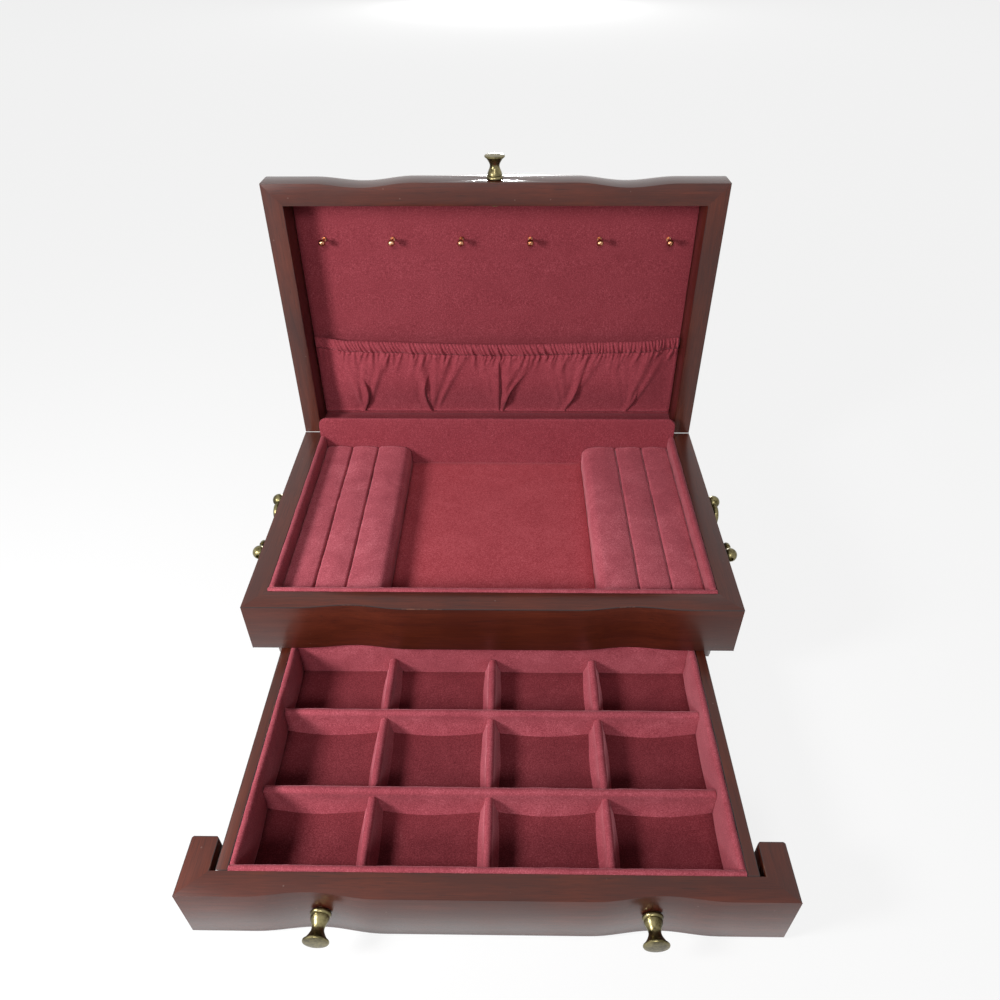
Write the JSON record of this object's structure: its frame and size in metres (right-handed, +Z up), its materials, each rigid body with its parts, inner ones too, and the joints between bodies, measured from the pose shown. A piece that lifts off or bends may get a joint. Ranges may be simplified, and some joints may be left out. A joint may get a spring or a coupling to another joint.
{
  "type": "jewellery chest",
  "caption": "Two-tier wooden jewellery chest with a wavy front: hinged lid with pocket and hooks, velvet tray with ring rolls, divided drawer, brass knobs and bail handles.",
  "frame": {"origin": "middle of the case's base, on the surface that it stands on", "axes": "+X to the chest's right as seen from the front, +Y to the back, +Z up; the drawer opens along -Y"},
  "size_m": [0.315, 0.3684, 0.274],
  "materials": {
    "wood": "satin lacquer over dark cherry stain",
    "inner_wood": "unpolished board",
    "velvet": "short burgundy velvet",
    "felt": "dark felt",
    "brass": "antique brass",
    "hook_brass": "polished rose brass"
  },
  "bodies": {
    "case": {"case_front_rail": "wood", "case_left_side": "wood", "case_right_side": "wood", "case_back": "wood", "case_bottom": "inner_wood", "tray_deck": "inner_wood", "drawer_guides": "inner_wood", "base_felt": "felt", "tray_floor_pad": "velvet", "tray_liner_front": "velvet", "tray_liner_back": "velvet", "tray_liner_left": "velvet", "tray_liner_right": "velvet", "ring_rolls_left": "velvet", "ring_rolls_right": "velvet", "hinge_left_case_leaf": "brass", "hinge_right_case_leaf": "brass", "hinge_pins": "brass", "hinge_case_screws": "brass", "handle_left_posts": "brass", "handle_right_posts": "brass", "handle_post_screws": "brass"},
    "lid": {"lid_front_rail": "wood", "lid_left_rail": "wood", "lid_right_rail": "wood", "lid_back_rail": "wood", "lid_top_panel": "wood", "lid_lining": "velvet", "lid_hinge_strip": "velvet", "lid_pocket": "velvet", "necklace_hooks": "hook_brass", "lid_knob": "brass", "lid_knob_screw": "brass", "hinge_left_lid_leaf": "brass", "hinge_right_lid_leaf": "brass", "hinge_lid_screws": "brass"},
    "drawer": {"drawer_front": "wood", "drawer_left_return": "wood", "drawer_right_return": "wood", "drawer_left_side": "wood", "drawer_right_side": "wood", "drawer_back": "wood", "drawer_bottom": "inner_wood", "drawer_floor_pad": "velvet", "drawer_liner_front": "velvet", "drawer_liner_back": "velvet", "drawer_liner_left": "velvet", "drawer_liner_right": "velvet", "drawer_divider_front": "velvet", "drawer_divider_rear": "velvet", "cross_dividers_front": "velvet", "cross_dividers_middle": "velvet", "cross_dividers_rear": "velvet", "drawer_left_knob": "brass", "drawer_right_knob": "brass", "drawer_knob_screws": "brass"},
    "left_bail": {"left_bail": "brass"},
    "right_bail": {"right_bail": "brass"}
  },
  "joints": [
    {"name": "lid_hinge", "type": "hinge", "parent": "case", "child": "lid", "pos_m": [0, 0.0901, 0.07915], "axis": [1, 0, 0], "range_deg": [0, 91.5]},
    {"name": "drawer_slide", "type": "slide", "parent": "case", "child": "drawer", "axis": [0, -1, 0], "range_m": [-0.144, 0.009]},
    {"name": "left_bail_swing", "type": "hinge", "parent": "case", "child": "left_bail", "pos_m": [-0.153, 0, 0.0635], "axis": [0, 1, 0], "range_deg": [-10, 165]},
    {"name": "right_bail_swing", "type": "hinge", "parent": "case", "child": "right_bail", "pos_m": [0.153, 0, 0.0635], "axis": [0, -1, 0], "range_deg": [-10, 165]}
  ]
}
